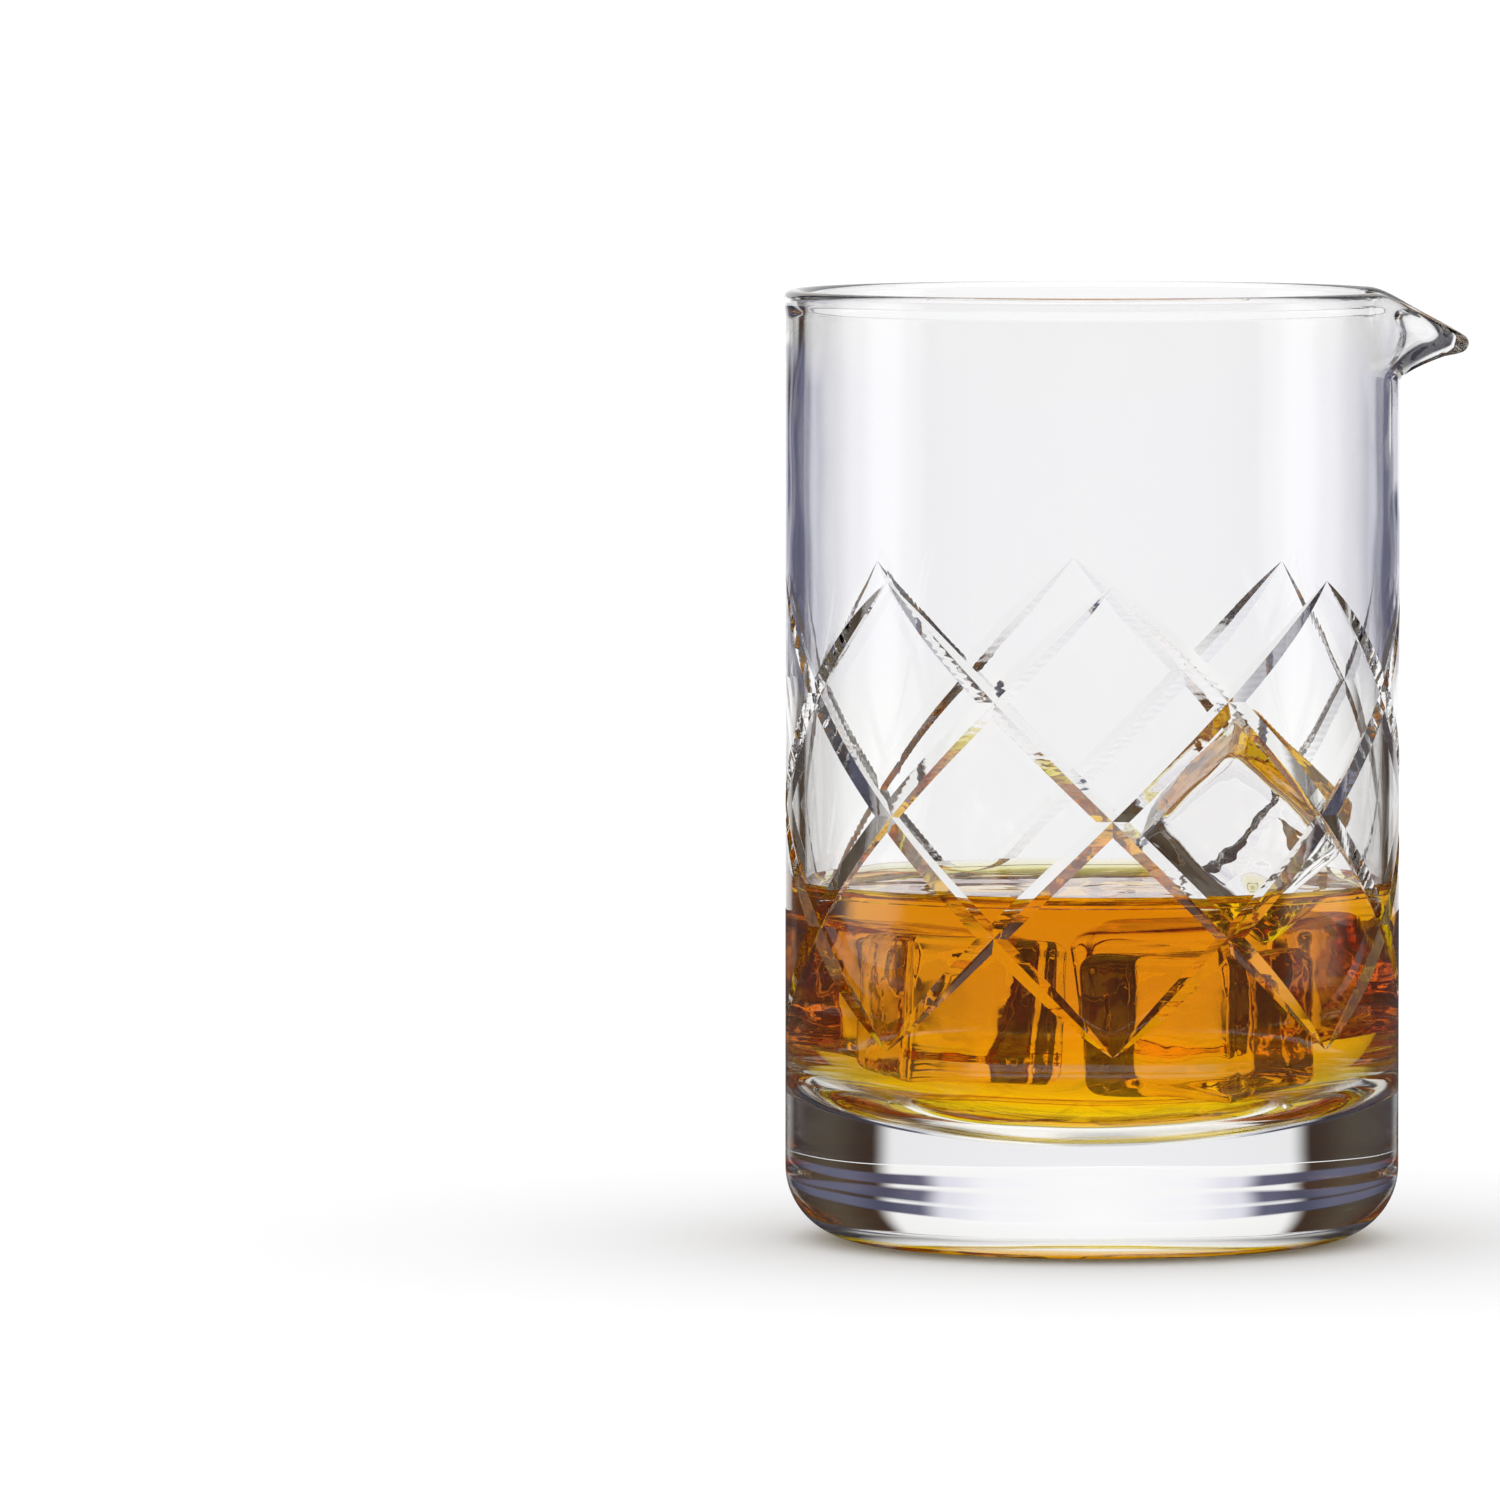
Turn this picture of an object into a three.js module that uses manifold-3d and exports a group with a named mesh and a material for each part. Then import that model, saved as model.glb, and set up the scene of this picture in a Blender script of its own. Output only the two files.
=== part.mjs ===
// A stirring glass for mixed drinks: a straight, heavy-based tumbler with a pulled pouring lip and a
// band of diamond cuts, holding a measure of spirit and five cubes of clear ice.
// Millimetres. +Z is up, the origin is the centre of the flat underside, and the lip points along +X.
import * as THREE from "three";
import { RoundedBoxGeometry } from "three/addons/geometries/RoundedBoxGeometry.js";
import { mergeVertices } from "three/addons/utils/BufferGeometryUtils.js";
import Module from "manifold-3d";

const wasm = await Module();
wasm.setup();

// The glass.
const GLASS_HEIGHT = 150;
const OUTER_DIAMETER = 97;
const WALL = 2.8;
const BASE_THICKNESS = 16;
const HEEL_RADIUS = 11.5; // outer rounding between the wall and the underside
const FLOOR_CROWN = 100; // radius of the dished floor inside
const FLOOR_KNUCKLE = 25; // inner rounding between the dished floor and the wall
const FACETS_AROUND = 64;
const FACETS_IN_HEEL = 5;
const FACETS_IN_CROWN = 3;
const FACETS_IN_KNUCKLE = 7;
const FACETS_IN_RIM = 4;

// The pouring lip.
const LIP_REACH = 10.5; // how far the tip stands out from the wall
const LIP_DROP = 6.9; // how far the tip lies below the rim
const LIP_DEPTH = 14; // where the lip starts to leave the wall, below the rim
const LIP_HALF_ANGLE = THREE.MathUtils.degToRad(24);
const LIP_REACH_BEND = 1.35; // above 1, the lip leaves the wall gently
const LIP_RISE_BEND = 0.8; // below 1, the lip flattens towards its tip
const FACETS_IN_LIP = 6;

// The diamond cuts: wheel-cut V grooves, half of them leaning each way.
const CUTS_EACH_WAY = 8;
const CUT_DEPTH = 1;
const CUT_ANGLE = THREE.MathUtils.degToRad(120);
const CUT_FOOT = 32.3; // height of the lower points
const CUT_BAND = 73.3; // height of the whole band
const CUT_TURN = THREE.MathUtils.degToRad(90); // how far round each cut runs
const FIRST_CUT_POINT = THREE.MathUtils.degToRad(-86.2); // where an upper point stands
const CUT_STEPS = 12;
const CUT_PROUD = 0.6; // how far the wheel stands out of the surface, clear of the facets
const CUT_FADE = 6; // how sharply a cut runs out at its ends

// What the glass holds.
const CLEARANCE = 0.3;
const DRINK_DEPTH = 39.5;
const ICE_GAP = 0.8; // the least gap between two cubes, seen from above
const ICE_ROUNDING = 2.5;
const FACETS_IN_ICE_CORNER = 2;
const EDGE_PRECISION = 1e-6;

const outerRadius = OUTER_DIAMETER / 2;
const innerRadius = outerRadius - WALL;
const holdRadius = innerRadius - CLEARANCE; // how far out the drink and the ice may reach
const rimMiddle = GLASS_HEIGHT - WALL / 2;
const lipFoot = GLASS_HEIGHT - LIP_DEPTH;
const crownCentre = BASE_THICKNESS + FLOOR_CROWN;
const knuckleRadius = innerRadius - FLOOR_KNUCKLE; // of the ring that the knuckle's centre lies on
const knuckleTilt = Math.asin(knuckleRadius / (FLOOR_CROWN - FLOOR_KNUCKLE));
const knuckleCentre = crownCentre - (FLOOR_CROWN - FLOOR_KNUCKLE) * Math.cos(knuckleTilt);
const drinkLevel = BASE_THICKNESS + DRINK_DEPTH;
const up = new THREE.Vector3(0, 0, 1);

// Solids, booleans and meshes.
function solidOf(geometry) {
  const bare = geometry.clone();
  bare.deleteAttribute("normal");
  bare.deleteAttribute("uv");
  const merged = mergeVertices(bare, 1e-4);
  return new wasm.Manifold(
    new wasm.Mesh({
      numProp: 3,
      vertProperties: new Float32Array(merged.attributes.position.array),
      triVerts: new Uint32Array(merged.index.array),
    }),
  );
}

function geometryOf(solid) {
  const { vertProperties, triVerts } = solid.getMesh();
  const geometry = new THREE.BufferGeometry();
  geometry.setAttribute("position", new THREE.BufferAttribute(vertProperties, 3));
  geometry.setIndex(new THREE.BufferAttribute(triVerts, 1));
  geometry.computeVertexNormals();
  return geometry;
}

// A lathe turned about Z. The profile is a list of Vector2 (radius, height) from axis to axis.
function turned(profile) {
  const lathe = new THREE.LatheGeometry(profile, FACETS_AROUND);
  return lathe.rotateX(Math.PI / 2);
}

function arc(radius, height, r, from, to, facets) {
  const curve = new THREE.EllipseCurve(radius, height, r, r, from, to, to < from);
  return curve.getPoints(facets);
}

const glassMaterial = new THREE.MeshStandardMaterial({
  color: 0xe8ebf2,
  roughness: 0.03,
  metalness: 0,
  transparent: true,
  opacity: 0.35,
});
const drinkMaterial = new THREE.MeshStandardMaterial({ color: 0xdf8c06, roughness: 0.05, metalness: 0 });
const iceMaterial = new THREE.MeshStandardMaterial({ color: 0xf2f6fa, roughness: 0.1, metalness: 0 });

// The inner surface from the axis up to the given height, drawn in by a gap: a shallow crown, the
// knuckle that turns up out of it, and the wall.
function bowlProfile(gap, top) {
  const down = -Math.PI / 2;
  const tilt = down + knuckleTilt;
  const crown = arc(0, crownCentre, FLOOR_CROWN - gap, down, tilt, FACETS_IN_CROWN);
  const knuckle = arc(knuckleRadius, knuckleCentre, FLOOR_KNUCKLE - gap, tilt, 0, FACETS_IN_KNUCKLE);
  return [...crown, ...knuckle.slice(1), new THREE.Vector2(innerRadius - gap, top)];
}

// The lip: a wall point at a given angle moves out and down along the curve that the hot glass is
// drawn into, and keeps its distance from the middle of the wall.
function lipCurve(height, bulge, target) {
  const share = Math.max(height - lipFoot, 0) / (rimMiddle - lipFoot);
  const rise = (rimMiddle - lipFoot - LIP_DROP) * share ** LIP_RISE_BEND;
  const drop = (rimMiddle - lipFoot) * share - rise;
  return target.set(
    innerRadius + WALL / 2 + LIP_REACH * bulge * share ** LIP_REACH_BEND,
    height - bulge * drop,
  );
}

function drawOutLip(geometry) {
  const place = geometry.attributes.position;
  const middle = new THREE.Vector2();
  const ahead = new THREE.Vector2();
  const step = 0.05;
  for (let i = 0; i < place.count; i++) {
    const [x, y, z] = [place.getX(i), place.getY(i), place.getZ(i)];
    const angle = Math.atan2(y, x);
    const aside = Math.abs(angle) / LIP_HALF_ANGLE;
    if (aside >= 1 || z <= lipFoot) continue;
    const bulge = (1 - aside) ** 3 * (1 + 3 * aside);
    const offset = Math.hypot(x, y) - (innerRadius + WALL / 2);
    lipCurve(z, bulge, middle);
    lipCurve(z - step, bulge, ahead);
    const along = middle.clone().sub(ahead).normalize();
    const radius = middle.x + offset * along.y;
    place.setXYZ(i, radius * Math.cos(angle), radius * Math.sin(angle), middle.y - offset * along.x);
  }
  return geometry;
}

// One V groove: a three-sided bar bent along the wall. Its lower edge is CUT_DEPTH below the surface
// along most of its length and comes up to nothing at both ends, as the wheel is lifted off.
function cutter(startAngle, hand) {
  const bar = new THREE.CylinderGeometry(1, 1, 1, 3, CUT_STEPS);
  const place = bar.attributes.position;
  const run = outerRadius * CUT_TURN;
  const length = Math.hypot(run, CUT_BAND);
  const across = new THREE.Vector2(-CUT_BAND / length, (hand * run) / length);
  for (let i = 0; i < place.count; i++) {
    const share = place.getY(i) + 0.5;
    const depth = CUT_DEPTH * (1 - Math.abs(2 * share - 1) ** CUT_FADE);
    const tall = depth + CUT_PROUD;
    const aside = (place.getX(i) / Math.sin(Math.PI / 3)) * tall * Math.tan(CUT_ANGLE / 2);
    const radius = outerRadius + CUT_PROUD - ((place.getZ(i) + 0.5) / 1.5) * tall;
    const angle = startAngle + hand * CUT_TURN * share + (aside * across.x) / outerRadius;
    const height = CUT_FOOT + CUT_BAND * share + aside * across.y;
    place.setXYZ(i, radius * Math.cos(angle), radius * Math.sin(angle), height);
  }
  return bar;
}

function makeGlass() {
  const heights = [];
  for (let i = 0; i < FACETS_IN_LIP; i++) {
    heights.push(lipFoot + ((rimMiddle - lipFoot) * i) / FACETS_IN_LIP);
  }
  const heel = arc(outerRadius - HEEL_RADIUS, HEEL_RADIUS, HEEL_RADIUS, -Math.PI / 2, 0, FACETS_IN_HEEL);
  const rim = arc(innerRadius + WALL / 2, rimMiddle, WALL / 2, 0, Math.PI, FACETS_IN_RIM);
  const bowl = bowlProfile(0, lipFoot).reverse();
  const profile = [
    new THREE.Vector2(0, 0),
    ...heel,
    ...heights.map((height) => new THREE.Vector2(outerRadius, height)),
    ...rim,
    ...heights.slice(1).reverse().map((height) => new THREE.Vector2(innerRadius, height)),
    ...bowl,
  ];
  let glass = solidOf(drawOutLip(turned(profile)));
  for (let i = 0; i < CUTS_EACH_WAY; i++) {
    const point = FIRST_CUT_POINT + (2 * Math.PI * i) / CUTS_EACH_WAY;
    for (const hand of [-1, 1]) {
      glass = glass.subtract(solidOf(cutter(point - hand * CUT_TURN, hand)));
    }
  }
  const mesh = new THREE.Mesh(geometryOf(glass), glassMaterial);
  mesh.name = "glass_vessel";
  return mesh;
}

// The ice: four cubes stand in the bowl round its axis, each pushed out towards the wall by a share of
// the way, and as large as the gap between them leaves. The fifth lies on the front right-hand one,
// tipped on a corner. Bearings, turns and leans are in degrees, +X is bearing 0 and +Y, the back of the
// glass, is 90.
const lowerCubes = [
  { name: "ice_front_right", bearing: -48, outward: 0.7, turn: -24, lean: [-2, -3] },
  { name: "ice_front_left", bearing: -137, outward: 0.8, turn: 8, lean: [-4, 4] },
  { name: "ice_back_left", bearing: 148, outward: 0.8, turn: 22, lean: [4, 5] },
  { name: "ice_back_right", bearing: 62, outward: 0.82, turn: -8, lean: [5, -4] },
];
const topCube = { name: "ice_top", bearing: -24, outward: 0.96, turn: 6, lean: [22, 43] };

function attitudeOf([leanX, leanY], turn) {
  const [x, y, z] = [leanX, leanY, turn].map(THREE.MathUtils.degToRad);
  return new THREE.Quaternion().setFromEuler(new THREE.Euler(x, y, z, "ZYX"));
}

// The eight centres of a cube's rounded corners, about the cube's own centre.
function cornersOf({ attitude, edge }) {
  const reach = edge / 2 - ICE_ROUNDING;
  const corners = [];
  for (const x of [-reach, reach]) {
    for (const y of [-reach, reach]) {
      for (const z of [-reach, reach]) {
        corners.push(new THREE.Vector3(x, y, z).applyQuaternion(attitude));
      }
    }
  }
  return corners;
}

// How far a cube reaches from its centre in a direction.
function reachOf(cube, direction) {
  return Math.max(...cornersOf(cube).map((corner) => corner.dot(direction))) + ICE_ROUNDING;
}

// The gap between two cubes seen from above, across the edges of either.
function gapBetween(one, other) {
  const between = other.centre.clone().sub(one.centre);
  const gaps = [];
  for (const { attitude } of [one, other]) {
    for (const side of [[1, 0, 0], [0, 1, 0], [0, 0, 1]]) {
      const edge = new THREE.Vector3(...side).applyQuaternion(attitude);
      const across = new THREE.Vector3(-edge.y, edge.x, 0).normalize();
      gaps.push(Math.abs(between.dot(across)) - reachOf(one, across) - reachOf(other, across));
    }
  }
  return Math.max(...gaps);
}

// Moves a cube from the axis along its bearing, by a share of the way to where it meets the wall.
function pushOut(cube, bearing, share) {
  const way = new THREE.Vector3(1, 0, 0).applyAxisAngle(up, THREE.MathUtils.degToRad(bearing));
  const room = holdRadius - ICE_ROUNDING;
  const ways = cornersOf(cube).map((corner) => {
    const along = corner.dot(way);
    const aside = corner.clone().setZ(0).addScaledVector(way, -along);
    return Math.sqrt(Math.max(room ** 2 - aside.lengthSq(), 0)) - along;
  });
  cube.centre = way.multiplyScalar(share * Math.min(...ways));
}

// The height of a cube's centre when it rests in the bowl, on the crown or on the knuckle.
function restingHeight(cube) {
  const room = ICE_ROUNDING + CLEARANCE;
  const heights = cornersOf(cube).map((corner) => {
    const radius = Math.hypot(cube.centre.x + corner.x, cube.centre.y + corner.y);
    const onCrown = radius < (FLOOR_CROWN - room) * Math.sin(knuckleTilt);
    const [centre, reach, aside] = onCrown
      ? [crownCentre, FLOOR_CROWN - room, radius]
      : [knuckleCentre, FLOOR_KNUCKLE - room, radius - knuckleRadius];
    return centre - Math.sqrt(Math.max(reach ** 2 - aside ** 2, 0)) - corner.z;
  });
  return Math.max(...heights);
}

function placeCubes(edge) {
  const cubes = [...lowerCubes, topCube].map(({ name, bearing, outward, turn, lean }) => {
    const cube = { name, edge, attitude: attitudeOf(lean, turn) };
    pushOut(cube, bearing, outward);
    cube.centre.z = restingHeight(cube);
    return cube;
  });
  const [below] = cubes;
  const top = cubes.at(-1);
  top.centre.z = below.centre.z + reachOf(below, up) + CLEARANCE + reachOf(top, up);
  return cubes;
}

// The cubes come up one by one past each other, apart from the top one, which lies on the first.
function leastGap([below, ...others]) {
  const top = others.at(-1);
  const gaps = others.slice(0, -1).map((cube) => Math.min(gapBetween(below, cube), gapBetween(cube, top)));
  gaps.push(gapBetween(others[0], others[1]), gapBetween(others[1], others[2]));
  return Math.min(...gaps);
}

// The edge of the ice, by halving the range that it lies in.
function fitEdge() {
  let [fits, tooLarge] = [2 * ICE_ROUNDING, innerRadius];
  while (tooLarge - fits > EDGE_PRECISION) {
    const edge = (fits + tooLarge) / 2;
    if (leastGap(placeCubes(edge)) >= ICE_GAP) fits = edge;
    else tooLarge = edge;
  }
  return fits;
}

function makeCube({ name, edge, attitude, centre }, gap = 0) {
  const grown = edge + 2 * gap;
  const mesh = new THREE.Mesh(
    new RoundedBoxGeometry(grown, grown, grown, FACETS_IN_ICE_CORNER, ICE_ROUNDING + gap),
    iceMaterial,
  );
  mesh.name = name;
  mesh.quaternion.copy(attitude);
  mesh.position.copy(centre);
  return mesh;
}

// The drink fills the bowl up to its level, round the ice that stands in it.
function makeDrink(placedCubes) {
  const bowl = [...bowlProfile(CLEARANCE, lipFoot), new THREE.Vector2(0, lipFoot)];
  const below = new THREE.CylinderGeometry(outerRadius, outerRadius, drinkLevel, FACETS_AROUND);
  below.rotateX(Math.PI / 2).translate(0, 0, drinkLevel / 2);
  let drink = solidOf(turned(bowl)).intersect(solidOf(below));
  for (const placedCube of placedCubes) {
    const room = makeCube(placedCube, CLEARANCE);
    room.updateMatrixWorld();
    drink = drink.subtract(solidOf(room.geometry.clone().applyMatrix4(room.matrixWorld)));
  }
  const mesh = new THREE.Mesh(geometryOf(drink), drinkMaterial);
  mesh.name = "drink";
  return mesh;
}

const placedCubes = placeCubes(fitEdge());
const mixingGlass = new THREE.Group();
mixingGlass.add(makeGlass(), makeDrink(placedCubes));
const ice = new THREE.Group();
ice.add(...placedCubes.map((placedCube) => makeCube(placedCube)));
mixingGlass.add(ice);

export default mixingGlass;
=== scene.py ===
import math
import bpy
import numpy as np
from mathutils import Matrix, Vector


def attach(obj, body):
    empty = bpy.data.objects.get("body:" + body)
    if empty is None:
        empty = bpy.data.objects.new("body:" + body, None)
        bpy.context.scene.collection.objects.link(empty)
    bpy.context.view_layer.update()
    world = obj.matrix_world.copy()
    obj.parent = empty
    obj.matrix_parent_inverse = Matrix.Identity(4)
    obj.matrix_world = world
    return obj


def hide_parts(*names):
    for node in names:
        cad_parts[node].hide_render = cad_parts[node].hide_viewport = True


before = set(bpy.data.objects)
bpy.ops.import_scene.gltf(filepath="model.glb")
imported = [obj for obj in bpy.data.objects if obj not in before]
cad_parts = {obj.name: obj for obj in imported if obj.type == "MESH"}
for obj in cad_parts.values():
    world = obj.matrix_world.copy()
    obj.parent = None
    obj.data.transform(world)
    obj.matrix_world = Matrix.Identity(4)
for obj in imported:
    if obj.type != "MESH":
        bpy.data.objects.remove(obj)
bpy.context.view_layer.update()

# The view: a long lens a little above the rim's height, far enough back that the sides of the glass
# stand upright. It looks a little to the left, so the glass stands to the right of the middle.
LENS = 349.75
FILM_WIDTH = 36
CAMERA_BACK = 2.300
CAMERA_HEIGHT = 0.2182
LOOK_DOWN = 3.509
LOOK_LEFT = 1.348
NEAREST, FURTHEST = 0.1, 60
MOST_BOUNCES = 40
scene = bpy.context.scene
camera = bpy.data.objects.new("camera", bpy.data.cameras.new("camera"))
scene.collection.objects.link(camera)
camera.data.sensor_width = FILM_WIDTH
camera.data.lens = LENS
camera.data.clip_start = NEAREST
camera.data.clip_end = FURTHEST
camera.location = (0, -CAMERA_BACK, CAMERA_HEIGHT)
camera.rotation_euler = (math.radians(90 - LOOK_DOWN), 0, math.radians(LOOK_LEFT))
scene.camera = camera
scene.view_settings.view_transform = "Standard"
# the drink and the ice are seen through many clear surfaces, one behind the other
scene.cycles.max_bounces = MOST_BOUNCES
scene.cycles.transmission_bounces = MOST_BOUNCES
scene.cycles.glossy_bounces = MOST_BOUNCES
scene.cycles.transparent_max_bounces = MOST_BOUNCES
scene.cycles.volume_bounces = 0
scene.cycles.use_denoising = True

# The floor: matt white paper, a hair below the foot of the glass. Rays that have come through the
# glass meet it as a mirror where they graze it behind the glass, and right under the foot, and so go
# on to the cards. Rays that the glass has thrown back meet it painted dark: a painted shade that
# stands for dark surroundings in the glass's reflections.
FLOOR_HALF = 20.0
FLOOR_LEVEL = -0.0002
PAPER = (0.93, 0.93, 0.935, 1)
# painted shade: the paper's colour as the glass's reflections see it, near black to stand for dark
# surroundings
PAINTED_SHADE_IN_REFLECTIONS = (0.05, 0.05, 0.06, 1)
SHINE = (0.9, 0.9, 0.92, 1)
MIRROR_RADIUS = 0.66
MIRROR_EDGE = 0.04
MIRROR_FRONT = -0.10
MIRROR_FRONT_EDGE = 0.05
GRAZING_FROM = 0.66
GRAZING_EDGE = 0.2
FOOT_RADIUS = 0.055
FOOT_EDGE = 0.005


class Socket:
    """A node's output, which takes part in sums as a number does: each sum adds a Math node."""

    def __init__(self, nodes, end):
        self.nodes = nodes
        self.end = end

    def other(self, name):
        return Socket(self.nodes, self.end.node.outputs[name])

    def __add__(self, value):
        return self.nodes.maths("ADD", self, value)

    def __radd__(self, value):
        return self.nodes.maths("ADD", value, self)

    def __sub__(self, value):
        return self.nodes.maths("SUBTRACT", self, value)

    def __rsub__(self, value):
        return self.nodes.maths("SUBTRACT", value, self)

    def __mul__(self, value):
        return self.nodes.maths("MULTIPLY", self, value)

    def __rmul__(self, value):
        return self.nodes.maths("MULTIPLY", value, self)

    def __truediv__(self, value):
        return self.nodes.maths("DIVIDE", self, value)

    def __rtruediv__(self, value):
        return self.nodes.maths("DIVIDE", value, self)

    def __pow__(self, value):
        return self.nodes.maths("POWER", self, value)

    def __rpow__(self, value):
        return self.nodes.maths("POWER", value, self)

    def __abs__(self):
        return self.nodes.maths("ABSOLUTE", self)

    def at_least(self, value):
        return self.nodes.maths("MAXIMUM", self, value)

    def at_most(self, value):
        return self.nodes.maths("MINIMUM", self, value)

    def clipped(self):
        """Kept between 0 and 1."""
        return self.at_least(0).at_most(1)


class Nodes:
    """A node tree, and the one way to put a node into it."""

    def __init__(self, tree):
        self.tree = tree
        tree.nodes.clear()

    def add(self, kind, settings=None, inputs=None, output=0):
        node = self.tree.nodes.new(kind)
        for name, value in (settings or {}).items():
            setattr(node, name, value)
        for name, value in (inputs or {}).items():
            for one in value if isinstance(value, list) else [value]:
                if isinstance(one, Socket):
                    self.tree.links.new(one.end, node.inputs[name])
                else:
                    node.inputs[name].default_value = one
        return Socket(self, node.outputs[output] if len(node.outputs) else None)

    def maths(self, operation, *values):
        return self.add("ShaderNodeMath", {"operation": operation}, dict(enumerate(values)))

    def mixed(self, share, first, second):
        """A colour between two, by a share of the second."""
        return self.add("ShaderNodeMix", {"data_type": "RGBA"}, {"Factor": share, 6: first, 7: second}, 2)


def new_finish(name):
    finish = bpy.data.materials.new(name)
    finish.use_nodes = True
    return finish, Nodes(finish.node_tree)


floor_finish, made = new_finish("floor")
at = made.add("ShaderNodeTexCoord", {}, {}, "Object")
path = made.add("ShaderNodeLightPath", {}, {}, "Transmission Depth")
not_from_paper = 1 - path.other("Diffuse Depth").at_most(1)
through_glass = path.at_most(1) * not_from_paper
thrown_back = path.other("Glossy Depth").at_most(1) * not_from_paper
apart = made.add("ShaderNodeVectorMath", {"operation": "LENGTH"}, {0: at}, "Value")
behind = made.add("ShaderNodeSeparateXYZ", {}, {0: at}, "Y") - MIRROR_FRONT
inside_cards = (1 - (apart - MIRROR_RADIUS) / MIRROR_EDGE).clipped()
behind_glass = inside_cards * (behind / MIRROR_FRONT_EDGE).clipped()
facing = made.add("ShaderNodeLayerWeight", {}, {"Blend": 0.5}, "Facing")
grazing = ((facing - GRAZING_FROM) / GRAZING_EDGE).clipped()
under_foot = ((FOOT_RADIUS - apart) / FOOT_EDGE).clipped()
# painted shade: the paper's colour turns near black for rays that the glass has thrown back, so its
# reflections look dark
matt = made.add("ShaderNodeBsdfDiffuse", {}, {"Color": made.mixed(thrown_back, PAPER, PAINTED_SHADE_IN_REFLECTIONS)})
shiny = made.add("ShaderNodeBsdfGlossy", {}, {"Color": SHINE, "Roughness": 0.0})
mirrored = through_glass * behind_glass * grazing.at_least(under_foot)
surface = made.add("ShaderNodeMixShader", {}, {0: mirrored, 1: matt, 2: shiny})
made.add("ShaderNodeOutputMaterial", {}, {"Surface": surface})

floor_mesh = bpy.data.meshes.new("floor")
sides = [(-1, -1), (1, -1), (1, 1), (-1, 1)]
corners = [(x * FLOOR_HALF, y * FLOOR_HALF, FLOOR_LEVEL) for x, y in sides]
floor_mesh.from_pydata(corners, [], [(0, 1, 2, 3)])
floor_mesh.materials.append(floor_finish)
floor = bpy.data.objects.new("floor", floor_mesh)
scene.collection.objects.link(floor)

# The light: an even white sky, and a ring of lit cards that shows only in the glass. The cards are
# white straight behind the glass and at each side of it, and dark between and in front, which draws
# its edges. A band low on the cards is cool, and the cards above and below it are warm.
SKY = 1.15
RING_RADIUS = 0.7
RING_FOOT = 0.002
RING_HEIGHT = 0.9
RING_STEPS = 128
BAND_FROM = 0.044
BAND_TO = 0.122
BAND_EDGE = 0.012
# brightness at each bearing, in degrees from straight behind the glass
SIDES_AND_FRONT = [(78, 0.85), (102, 0.85), (108, 0.04), (180, 0.04)]
WARM_TONES = [(0, 1.02), (26, 0.98), (31, 0.03), (44, 0.07), (66, 0.03)]
COOL_TONES = [
    (0, 1.03), (11, 0.98), (17.5, 0.80), (22, 0.13), (29, 0.08), (38, 0.14), (52, 0.14), (70, 0.04),
]
# what each kind of card has beyond grey: red in its black, blue all over and blue in its greys
WARM = (0.02, 0, -0.36)
COOL = (0, 0.02, 0.42)

world = bpy.data.worlds.new("sky")
scene.world = world
world.use_nodes = True
made = Nodes(world.node_tree)
sky = made.add("ShaderNodeBackground", {}, {"Color": (1, 1, 1, 1), "Strength": SKY})
made.add("ShaderNodeOutputWorld", {}, {"Surface": sky})

card_finish, made = new_finish("cards")
at = made.add("ShaderNodeTexCoord", {}, {}, "Object")
split = made.add("ShaderNodeSeparateXYZ", {}, {0: at})
rise = split.other("Z")
bearing = abs(made.maths("ARCTAN2", split, split.other("Y"))) * (180 / math.pi)


def tones(stops, black_red, all_blue, grey_blue):
    """The cards' colour by their bearing, eased from stop to stop."""
    tone = made.add("ShaderNodeValToRGB", {}, {0: bearing / 180})
    ramp = tone.end.node.color_ramp
    ramp.interpolation = "EASE"
    while len(ramp.elements) < len(stops):
        ramp.elements.new(0.5)
    for element, (degrees, value) in zip(ramp.elements, stops):
        red = value + black_red * (1 - value)
        blue = value + grey_blue * value * (1 - value) + all_blue
        element.position = degrees / 180
        element.color = (red, value, blue, 1)
    return tone


warm_cards = tones(WARM_TONES + SIDES_AND_FRONT, *WARM)
cool_cards = tones(COOL_TONES + SIDES_AND_FRONT, *COOL)
in_band = ((rise - BAND_FROM) / BAND_EDGE).clipped() * ((BAND_TO - rise) / BAND_EDGE).clipped()
tone = made.mixed(in_band, warm_cards, cool_cards)
glow = made.add("ShaderNodeEmission", {}, {"Color": tone, "Strength": 1.0})
made.add("ShaderNodeOutputMaterial", {}, {"Surface": glow})

turns = [2 * math.pi * i / RING_STEPS for i in range(RING_STEPS)]
around = [(RING_RADIUS * math.sin(turn), RING_RADIUS * math.cos(turn)) for turn in turns]
following = [(i + 1) % RING_STEPS for i in range(RING_STEPS)]
ring_mesh = bpy.data.meshes.new("cards")
ring_mesh.from_pydata(
    [(x, y, z) for z in (RING_FOOT, RING_HEIGHT) for x, y in around],
    [],
    [(i, after, RING_STEPS + after, RING_STEPS + i) for i, after in enumerate(following)],
)
ring_mesh.materials.append(card_finish)
ring = bpy.data.objects.new("cards", ring_mesh)
scene.collection.objects.link(ring)
ring.visible_camera = False
ring.visible_diffuse = False
ring.visible_shadow = False

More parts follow.
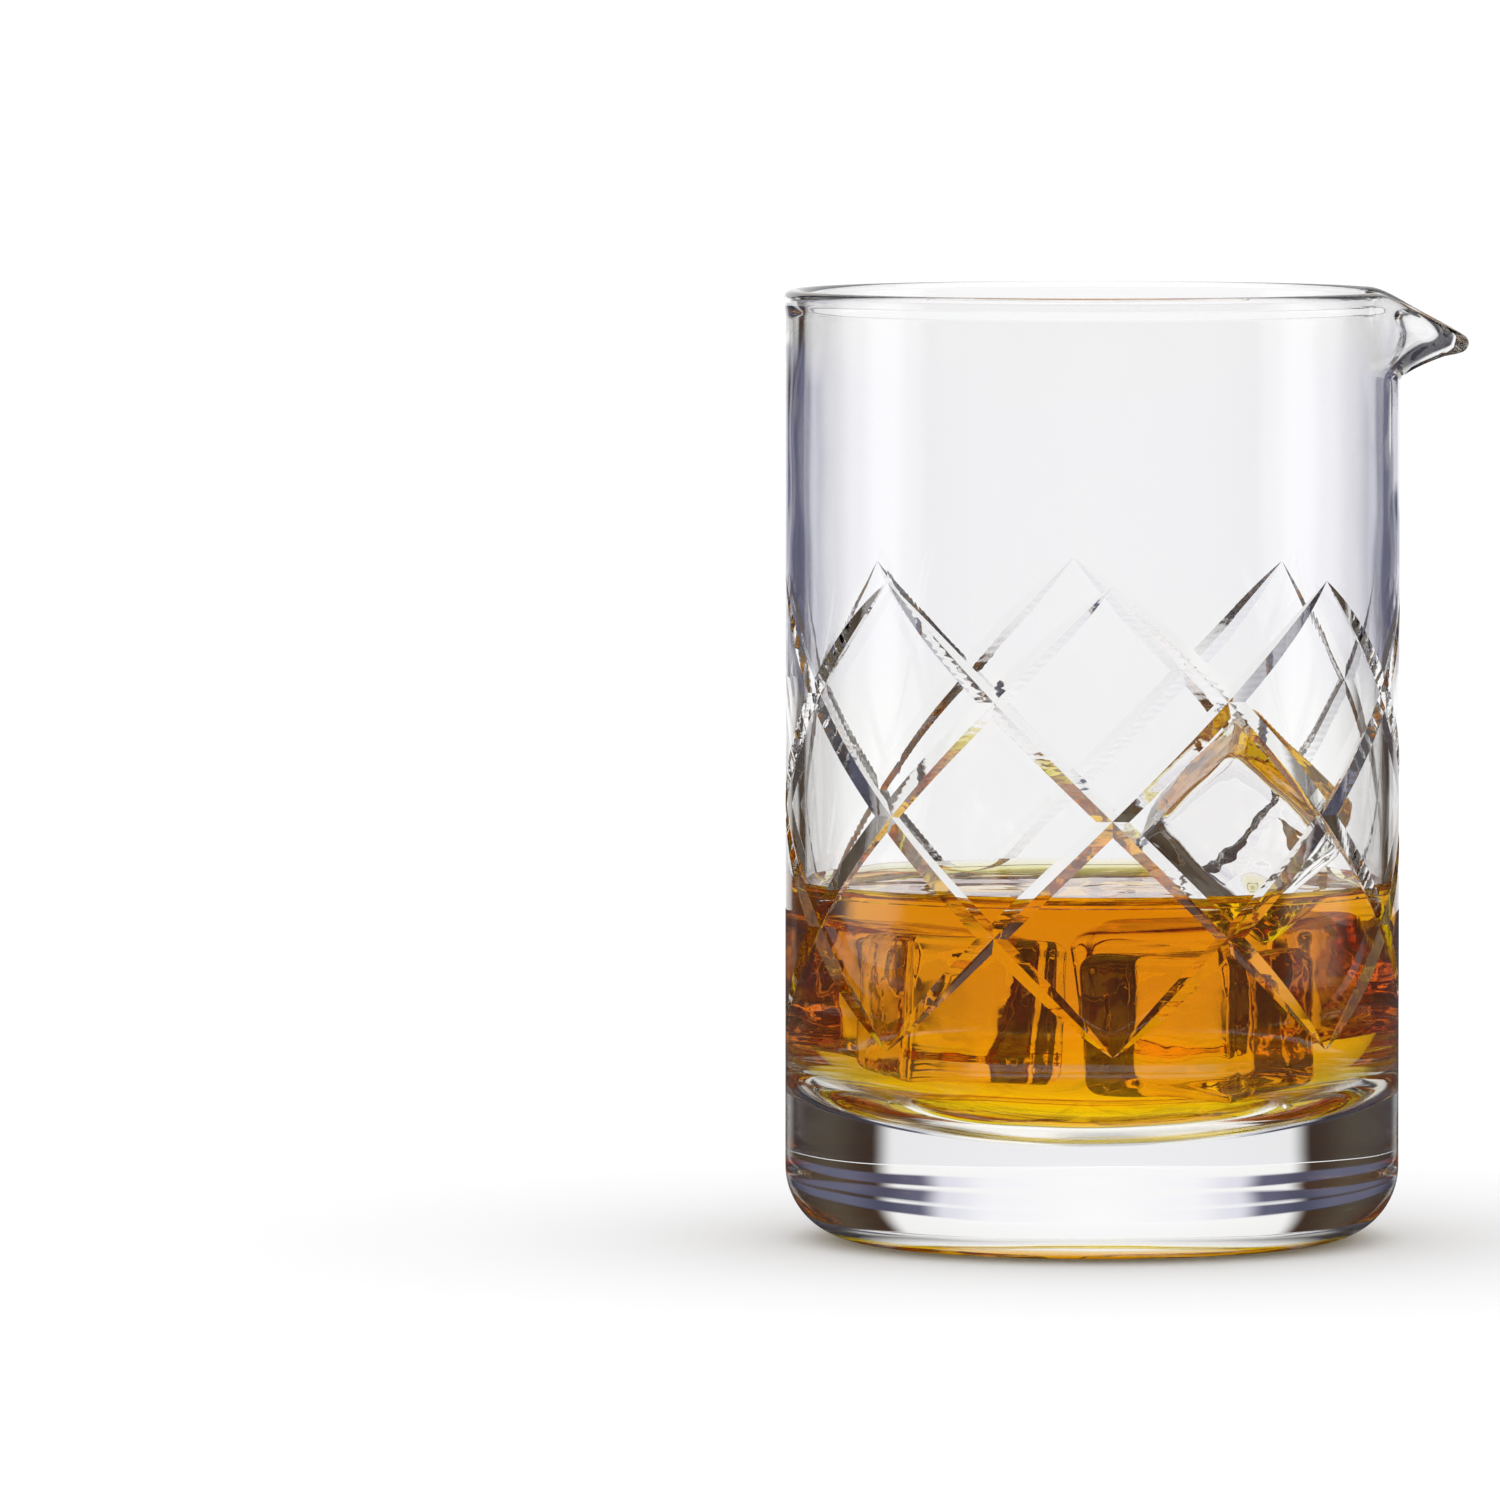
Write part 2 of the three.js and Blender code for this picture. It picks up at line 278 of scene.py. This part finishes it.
# The glass: one piece of clear heavy glass, blown thick in the base, its rim fire-polished and drawn
# out into a pouring lip while hot. The diamond band is cut into the cold wall with a wheel.
MM = 0.001
HEIGHT = 150.0
OUTER = 48.5
WALL = 2.8
INNER = OUTER - WALL
BASE = 16.0
HEEL = 11.5
HEEL_STEPS = 24
FOOT_RINGS = [0, 10, 24]
WALL_RINGS = 8
LIP_RINGS = 24
RIM_STEPS = 16
BOWL_TOP = 60
CROWN = 100.0
CROWN_STEPS = 24
KNUCKLE = 25.0
KNUCKLE_STEPS = 20
BEAD = 0.3
BEAD_DEPTH = 4.2
BEAD_RISE = 2.6
LIP_REACH = 10.5
LIP_DROP = 6.9
LIP_DEPTH = 14.0
LIP_HALF_ANGLE = 24.0
LIP_FLARE = 1.35
LIP_FALL = 0.8
CUTS_EACH_WAY = 8
CUT_DEPTH = 1.0
CUT_FOOT = 32.3
CUT_BAND = 73.3
CUT_TURN = 90
FIRST_CUT = -86.2
CUT_HALF_ANGLE = 60
CUT_RUN_OUT = 6
CUT_STEPS = 96
WHEEL_PROUD = 0.6
AROUND = 384
JOIN = 1e-6
GLASS_CREASE = 12
GLASS_IOR = 1.5
# how deep the surface waves, the wheel's lines and its grain are, in metres
WAVES = 0.00035
WHEEL_LINES = 0.000006
WHEEL_GRAIN = 0.000004
CUT_ROUGHNESS = 0.03
GRAIN_ROUGHNESS = 0.04
WORN_FROM = 0.62
WORN_ROUGHNESS = 0.12


def noise(made, at, scale, detail, roughness, distortion=0.0):
    look = {"Vector": at, "Scale": scale, "Detail": detail, "Roughness": roughness, "Distortion": distortion}
    return made.add("ShaderNodeTexNoise", {}, look, "Fac")


def clear_body(made, ior, roughness, relief, inside=None):
    """The finish of a clear body: its surface, with a relief in metres, and what it holds."""
    bump = made.add("ShaderNodeBump", {}, {"Height": relief, "Strength": 1.0, "Distance": 1.0})
    look = {"Base Color": (1, 1, 1, 1), "Roughness": roughness, "IOR": ior, "Transmission Weight": 1.0}
    surface = made.add("ShaderNodeBsdfPrincipled", {}, {**look, "Normal": bump})
    ends = {"Surface": surface} if inside is None else {"Surface": surface, "Volume": inside}
    made.add("ShaderNodeOutputMaterial", {}, ends)


glass_finish, made = new_finish("cut glass")
at = made.add("ShaderNodeTexCoord", {}, {}, "Object")
cut = made.add("ShaderNodeAttribute", {"attribute_name": "cut"}, {}, "Fac")
waves = noise(made, at, scale=38.0, detail=1.0, roughness=0.4)
grain = noise(made, at, scale=900.0, detail=2.0, roughness=0.6)
worn = noise(made, at, scale=60.0, detail=4.0, roughness=0.6)
lines = made.add(
    "ShaderNodeTexWave", {"wave_type": "BANDS", "bands_direction": "Z"},
    {"Vector": at, "Scale": 260.0, "Distortion": 3.0, "Detail": 2.0, "Detail Scale": 2.0}, "Fac",
)
relief = waves * WAVES + cut * (lines * WHEEL_LINES + grain * WHEEL_GRAIN)
ground = cut * (CUT_ROUGHNESS + GRAIN_ROUGHNESS * grain)
rubbed = (worn - WORN_FROM).at_least(0) * WORN_ROUGHNESS
clear_body(made, GLASS_IOR, ground + rubbed, relief)


def arc(x, z, r, start, end, steps, tall=None):
    """Points of an arc about (x, z), from one angle in degrees to another."""
    turns = [math.radians(start + (end - start) * i / steps) for i in range(steps + 1)]
    return [(x + r * math.cos(t), z + (tall or r) * math.sin(t)) for t in turns]


def heights(start, end, count):
    """Evenly spaced heights from start up to the last before end."""
    return [start + (end - start) * i / count for i in range(count)]


def bead_at(z):
    """How far the rim stands proud of the wall at a height."""
    share = min(max((z - (HEIGHT - BEAD_DEPTH)) / BEAD_RISE, 0), 1)
    return BEAD * share * share * (3 - 2 * share)


def dish(sunk):
    """The inside of the bowl from the axis to where the wall begins: a shallow crown and its knuckle."""
    tilt = math.degrees(math.asin((INNER - KNUCKLE) / (CROWN - KNUCKLE)))
    knuckle_height = BASE + CROWN - (CROWN - KNUCKLE) * math.cos(math.radians(tilt))
    crown = arc(0, BASE + CROWN, CROWN + sunk, -90, tilt - 90, CROWN_STEPS)
    knuckle = arc(INNER - KNUCKLE, knuckle_height, KNUCKLE + sunk, tilt - 90, 0, KNUCKLE_STEPS)
    return crown + knuckle[1:]


rim_middle = HEIGHT - WALL / 2
rim_half = (WALL + BEAD) / 2
lip_foot = HEIGHT - LIP_DEPTH
lip_heights = heights(lip_foot, rim_middle, LIP_RINGS)
glass_profile = [(x, 0) for x in FOOT_RINGS]
glass_profile += arc(OUTER - HEEL, HEEL, HEEL, -90, 0, HEEL_STEPS)
glass_profile += [(OUTER, z) for z in heights(HEEL, lip_foot, WALL_RINGS)[1:]]
glass_profile += [(OUTER + bead_at(z), z) for z in lip_heights]
glass_profile += arc(INNER + rim_half, rim_middle, rim_half, 0, 180, RIM_STEPS, WALL / 2)
glass_profile += [(INNER, z) for z in reversed(heights(BOWL_TOP, lip_foot, WALL_RINGS) + lip_heights)]
glass_profile += reversed(dish(0))


def polyline(name, points):
    mesh = bpy.data.meshes.new(name)
    edges = [(i, i + 1) for i in range(len(points) - 1)]
    mesh.from_pydata([(x * MM, 0, z * MM) for x, z in points], edges, [])
    return mesh


def geometry_tree(name, sizes):
    """An empty geometry tree with a named input for each size, and the sockets that they come from."""
    tree = bpy.data.node_groups.new(name, "GeometryNodeTree")
    tree.interface.new_socket("Geometry", in_out="OUTPUT", socket_type="NodeSocketGeometry")
    tree.interface.new_socket("Geometry", in_out="INPUT", socket_type="NodeSocketGeometry")
    for key, value in sizes.items():
        kind = "NodeSocketInt" if isinstance(value, int) else "NodeSocketFloat"
        if isinstance(value, bpy.types.Material):
            kind = "NodeSocketMaterial"
        tree.interface.new_socket(key, in_out="INPUT", socket_type=kind)
    made = Nodes(tree)
    start = made.add("NodeGroupInput")
    return made, {key: start.other(key) for key in ["Geometry", *sizes]}


def turn_on_axis(made, profile, segments):
    """A grid for a profile turned about Z, with the angle, radius and height of each of its points."""
    domain = {"component": "MESH"}
    count = made.add("GeometryNodeAttributeDomainSize", domain, {"Geometry": profile}, "Point Count")
    grid = made.add("GeometryNodeMeshGrid", {}, {"Vertices X": segments + 1, "Vertices Y": count})
    index = made.add("GeometryNodeInputIndex")
    row = made.maths("FLOORED_MODULO", index, count)
    angle = ((index - row) / count) * (2 * math.pi) / segments
    point = made.add(
        "GeometryNodeSampleIndex", {"data_type": "FLOAT_VECTOR", "domain": "POINT"},
        {"Geometry": profile, "Value": made.add("GeometryNodeInputPosition"), "Index": row},
    )
    radius = made.add("ShaderNodeSeparateXYZ", {}, {0: point})
    return grid, angle, radius, radius.other("Z")


def about_axis(made, radius, angle, height):
    across, along = radius * made.maths("COSINE", angle), radius * made.maths("SINE", angle)
    return made.add("ShaderNodeCombineXYZ", {}, {"X": across, "Y": along, "Z": height})


def closed(made, grid, place):
    """The grid laid in its place, with its seam and its two poles joined up."""
    body = made.add("GeometryNodeSetPosition", {}, {"Geometry": grid, "Position": place})
    return made.add("GeometryNodeMergeByDistance", {}, {"Geometry": body, "Distance": JOIN})


def finish_tree(made, body, finish):
    body = made.add("GeometryNodeRealizeInstances", {}, {"Geometry": body})
    body = made.add("GeometryNodeSetMaterial", {}, {"Geometry": body, "Material": finish})
    made.add("NodeGroupOutput", {}, {"Geometry": body})


def grown(name, start, made, sizes, crease=None):
    """The plain mesh that a tree grows from a starting mesh, smooth but for its creases."""
    piece = bpy.data.objects.new(name, start)
    scene.collection.objects.link(piece)
    modifier = piece.modifiers.new("shape", "NODES")
    modifier.node_group = made.tree
    for item in made.tree.interface.items_tree:
        if item.in_out == "INPUT" and item.name in sizes:
            modifier[item.identifier] = sizes[item.name]
    state = bpy.context.evaluated_depsgraph_get()
    shape = piece.evaluated_get(state)
    mesh = bpy.data.meshes.new_from_object(shape, preserve_all_data_layers=True, depsgraph=state)
    piece.modifiers.clear()
    piece.data = mesh
    mesh.name = name
    if crease is not None:
        mesh.set_sharp_from_angle(angle=math.radians(crease))
    mesh.polygons.foreach_set("use_smooth", [True] * len(mesh.polygons))
    return piece


glass_sizes = {
    "Segments": AROUND,
    "Wall Middle": (INNER + WALL / 2) * MM,
    "Rim Middle": rim_middle * MM,
    "Lip Foot": lip_foot * MM,
    "Lip Reach": LIP_REACH * MM,
    "Lip Drop": LIP_DROP * MM,
    "Lip Half Angle": math.radians(LIP_HALF_ANGLE),
    "Cuts Each Way": CUTS_EACH_WAY,
    "Cut Depth": CUT_DEPTH * MM,
    "Cut Foot": CUT_FOOT * MM,
    "Cut Band": CUT_BAND * MM,
    "Cut Turn": math.radians(CUT_TURN),
    "First Cut": math.radians(FIRST_CUT),
    "Outer": OUTER * MM,
    "Finish": glass_finish,
}
made, size = geometry_tree("glass", glass_sizes)
grid, angle, radius, height = turn_on_axis(made, size["Geometry"], size["Segments"])

# The lip: each point moves out and down with the middle of the wall, and keeps its distance from it.
from_lip = angle - 2 * math.pi * made.maths("FLOOR", angle / math.pi).at_most(1)
aside = (abs(from_lip) / size["Lip Half Angle"]).at_most(1)
bulge = (1 - aside) ** 3 * (1 + 3 * aside)
drawn = size["Rim Middle"] - size["Lip Foot"]


def lip_middle(z):
    """Where the middle of the wall is drawn to, out and up, from a height."""
    share = (z - size["Lip Foot"]).at_least(0) / drawn
    out = size["Wall Middle"] + size["Lip Reach"] * bulge * share ** LIP_FLARE
    risen = (drawn - size["Lip Drop"]) * share ** LIP_FALL
    return out, z - bulge * (drawn * share - risen)


SHORT_WAY = 0.05 * MM
from_middle = radius - size["Wall Middle"]
out, up = lip_middle(height)
out_below, up_below = lip_middle(height - SHORT_WAY)
run, climb = out - out_below, up - up_below
length = made.maths("SQRT", run * run + climb * climb)
place = about_axis(made, out + from_middle * climb / length, angle, up - from_middle * run / length)
body = closed(made, grid, place)

# The cuts: for each a three-sided bar bent along the wall, apex inwards, run out at both ends.
wheel_marks = []
for hand in (-1, 1):
    bar = made.add(
        "GeometryNodeMeshCylinder", {"fill_type": "TRIANGLE_FAN"},
        {"Vertices": 3, "Side Segments": CUT_STEPS, "Radius": 1.0, "Depth": 1.0},
    )
    at = made.add("GeometryNodeInputPosition")
    at = made.add("ShaderNodeSeparateXYZ", {}, {0: at})
    share = at.other("Z") + 0.5
    depth = size["Cut Depth"] * (1 - abs(2 * share - 1) ** CUT_RUN_OUT)
    tall = depth + WHEEL_PROUD * MM
    run = size["Outer"] * size["Cut Turn"]
    long = made.maths("SQRT", run * run + size["Cut Band"] * size["Cut Band"])
    # a cylinder of three sides has its corners at x = 1 and x = -0.5
    out = size["Outer"] + WHEEL_PROUD * MM - (at + 0.5) / 1.5 * tall
    across = at.other("Y") / math.sin(math.pi / 3) * tall * math.tan(math.radians(CUT_HALF_ANGLE))
    start = hand * size["Cut Turn"] * share - hand * size["Cut Turn"] + size["First Cut"]
    turn = start - across * size["Cut Band"] / long / size["Outer"]
    rise = size["Cut Foot"] + size["Cut Band"] * share + across * (hand * run) / long
    place = about_axis(made, out, turn, rise)
    bar = made.add("GeometryNodeSetPosition", {}, {"Geometry": bar, "Position": place})
    bar = made.add(
        "GeometryNodeStoreNamedAttribute", {"data_type": "FLOAT", "domain": "FACE"},
        {"Geometry": bar, "Name": "cut", "Value": 1.0},
    )
    points = made.add("GeometryNodePoints", {}, {"Count": size["Cuts Each Way"]})
    index = made.add("GeometryNodeInputIndex")
    spin = made.add("ShaderNodeCombineXYZ", {}, {"Z": index * (2 * math.pi) / size["Cuts Each Way"]})
    marks = {"Points": points, "Instance": bar, "Rotation": spin}
    wheel_marks.append(made.add("GeometryNodeInstanceOnPoints", {}, marks))
wheel_marks = made.add("GeometryNodeJoinGeometry", {}, {"Geometry": wheel_marks})
body = made.add(
    "GeometryNodeMeshBoolean", {"operation": "DIFFERENCE", "solver": "MANIFOLD"},
    {"Mesh 1": body, "Mesh 2": wheel_marks}, "Mesh",
)
finish_tree(made, body, size["Finish"])
glass = grown("cut_glass_vessel", polyline("glass", glass_profile), made, glass_sizes, GLASS_CREASE)
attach(glass, "glass")
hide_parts("glass_vessel")

# The drink: a measure of amber spirit that fills the bowl to its level, wets the wall and climbs it a
# little at the edge. It is poured in round the ice.
LEVEL = 55.5
LAST_RING = 50
WETTING = 0.1
CLIMB = 1.6
CLIMB_FADE = 1.6
CLIMB_WIDTH = 9
CLIMB_STEPS = 24
STILL_RADIUS = 20
DRINK_CREASE = 35
DRINK_IOR = 1.36
AMBER = (0.9955, 0.942, 0.0, 1)
AMBER_DENSITY = 240
SURFACE_FROM = 0.0552
SURFACE_EDGE = 0.0002
SWIRL = 0.0005

drink_finish, made = new_finish("amber drink")
at = made.add("ShaderNodeTexCoord", {}, {}, "Object")
swirl = noise(made, at, scale=75.0, detail=1.0, roughness=0.4, distortion=0.6)
rise = made.add("ShaderNodeSeparateXYZ", {}, {0: at}, "Z")
on_top = ((rise - SURFACE_FROM) / SURFACE_EDGE).clipped()
amber = made.add("ShaderNodeVolumeAbsorption", {}, {"Color": AMBER, "Density": AMBER_DENSITY})
clear_body(made, DRINK_IOR, 0.0, on_top * swirl * SWIRL, amber)

wet = INNER + WETTING
drink_profile = dish(WETTING)
drink_profile += [(wet, LAST_RING), (wet, LEVEL + CLIMB)]
for i in range(1, CLIMB_STEPS + 1):
    back = CLIMB_WIDTH * (i / CLIMB_STEPS) ** 1.5
    drink_profile.append((wet - WETTING - back, LEVEL + CLIMB * math.exp(-back / CLIMB_FADE)))
drink_profile += [(STILL_RADIUS, LEVEL), (0, LEVEL)]
drink_sizes = {"Segments": AROUND, "Finish": drink_finish}
made, size = geometry_tree("drink", drink_sizes)
grid, angle, radius, height = turn_on_axis(made, size["Geometry"], size["Segments"])
body = closed(made, grid, about_axis(made, radius, angle, height))
finish_tree(made, body, size["Finish"])
drink = grown("amber_spirit", polyline("drink", drink_profile), made, drink_sizes, DRINK_CREASE)
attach(drink, "glass")
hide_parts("drink")

# The ice: five clear cubes from a tray, rounded off where they have begun to melt. Four stand in the
# drink, and the fifth lies on them and shows above it.
PLACES = ["front_right", "front_left", "back_left", "back_right", "top"]
ROUNDING = 0.0025
MELT = 0.0006
MELT_EVEN = 0.62
MELT_RANGE = 3
ICE_ROWS = 40
SEED_APART = 7.3
ICE_IOR = 1.31
DIMPLES = 0.0003
FROST = 0.000006
FROST_FROM = 0.55
FROST_ROUGHNESS = 0.25

ice_finish, made = new_finish("clear ice")
at = made.add("ShaderNodeTexCoord", {}, {}, "Object")
dimples = noise(made, at, scale=130.0, detail=2.0, roughness=0.5)
frost = noise(made, at, scale=420.0, detail=3.0, roughness=0.6)
rough = (frost - FROST_FROM).at_least(0) * FROST_ROUGHNESS
clear_body(made, ICE_IOR, rough, dimples * DIMPLES + frost * FROST)


def lie_of(node):
    """A cube's centre, edge and axes, from its flat faces."""
    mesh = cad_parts[node].data
    faces = sorted(mesh.polygons, key=lambda face: -face.area)
    first = faces[0].normal.copy()
    second = next(face.normal for face in faces if abs(face.normal.dot(first)) < 0.5).copy()
    third = first.cross(second).normalized()
    second = third.cross(first)
    points = np.array([v.co for v in mesh.vertices])
    centre = (points.min(0) + points.max(0)) / 2
    spread = (points - centre) @ np.array(first)
    return Vector(centre), 2 * spread.max(), Matrix((first, second, third)).transposed()


def cube_sizes(edge, seed):
    return {"Edge": edge, "Rounding": ROUNDING, "Melt": MELT, "Seed": seed, "Finish": ice_finish}


made, size = geometry_tree("ice cube", cube_sizes(0.0, 0))


def vectors(operation, *values):
    return made.add("ShaderNodeVectorMath", {"operation": operation}, dict(enumerate(values)))


def scaled(vector, by):
    return made.add("ShaderNodeVectorMath", {"operation": "SCALE"}, {0: vector, "Scale": by})


# the grid's rows that lie past the flat faces are pulled in onto the round edges
cube = made.add(
    "GeometryNodeMeshCube", {},
    {"Size": (1, 1, 1), "Vertices X": ICE_ROWS, "Vertices Y": ICE_ROWS, "Vertices Z": ICE_ROWS},
)
flat = size["Edge"] / 2 - size["Rounding"]
low, high = [made.add("ShaderNodeCombineXYZ", {}, {"X": x, "Y": x, "Z": x}) for x in (0 - flat, flat)]
full = scaled(made.add("GeometryNodeInputPosition"), size["Edge"])
core = vectors("MINIMUM", vectors("MAXIMUM", full, low), high)
outward = vectors("NORMALIZE", vectors("SUBTRACT", full, core))
place = vectors("ADD", core, scaled(outward, size["Rounding"]))
melting = made.add(
    "ShaderNodeTexNoise", {"noise_dimensions": "4D"},
    {"Vector": place, "W": size["Seed"] * SEED_APART, "Scale": 70.0, "Detail": 1.0, "Roughness": 0.4}, "Fac",
)
shift = scaled(outward, (melting - MELT_EVEN) * size["Melt"] * MELT_RANGE)
body = made.add("GeometryNodeSetPosition", {}, {"Geometry": cube, "Position": place, "Offset": shift})
finish_tree(made, body, size["Finish"])
for seed, where in enumerate(PLACES, 1):
    node = "ice_" + where
    centre, edge, axes = lie_of(node)
    cube = grown("clear_" + node, bpy.data.meshes.new(node), made, cube_sizes(edge, seed))
    cube.data.transform(Matrix.Translation(centre) @ axes.to_4x4())
    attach(cube, where + "_cube")
    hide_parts(node)
